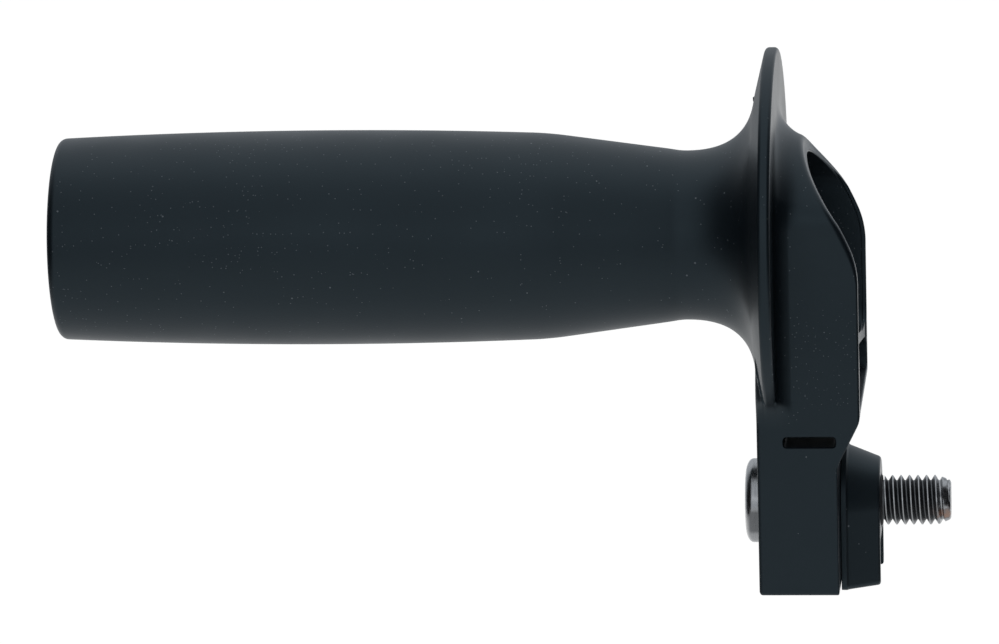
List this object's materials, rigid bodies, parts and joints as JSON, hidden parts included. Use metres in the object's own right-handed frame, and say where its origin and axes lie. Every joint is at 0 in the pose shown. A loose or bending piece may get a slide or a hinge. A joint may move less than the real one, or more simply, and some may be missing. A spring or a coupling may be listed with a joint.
{
  "type": "power tool side handle",
  "caption": "Black moulded side grip with a guard disc, an offset cored arm and a clamp block, held to a power tool by a captive screw through a locating foot.",
  "frame": {"origin": "on the clamp screw's axis, in the plane of the locating foot's machine face", "axes": "+X along the clamp screw to the machine it is screwed into, +Z from the screw's axis up to the grip's axis, which runs parallel to +X"},
  "size_m": [0.1475, 0.0618, 0.0898],
  "materials": {
    "black_plastic": "satin black with a faint grain",
    "plated_steel": "bright plated",
    "black_ring": "plain black"
  },
  "bodies": {
    "handle": {"handle_body": "black_plastic", "locating_foot": "black_plastic"},
    "screw": {"clamp_screw": "plated_steel", "retaining_ring": "black_ring"}
  },
  "joints": [
    {"name": "screw_turn", "type": "hinge", "parent": "handle", "child": "screw", "pos_m": [0, 0, 0], "axis": [1, 0, 0], "continuous": true}
  ]
}
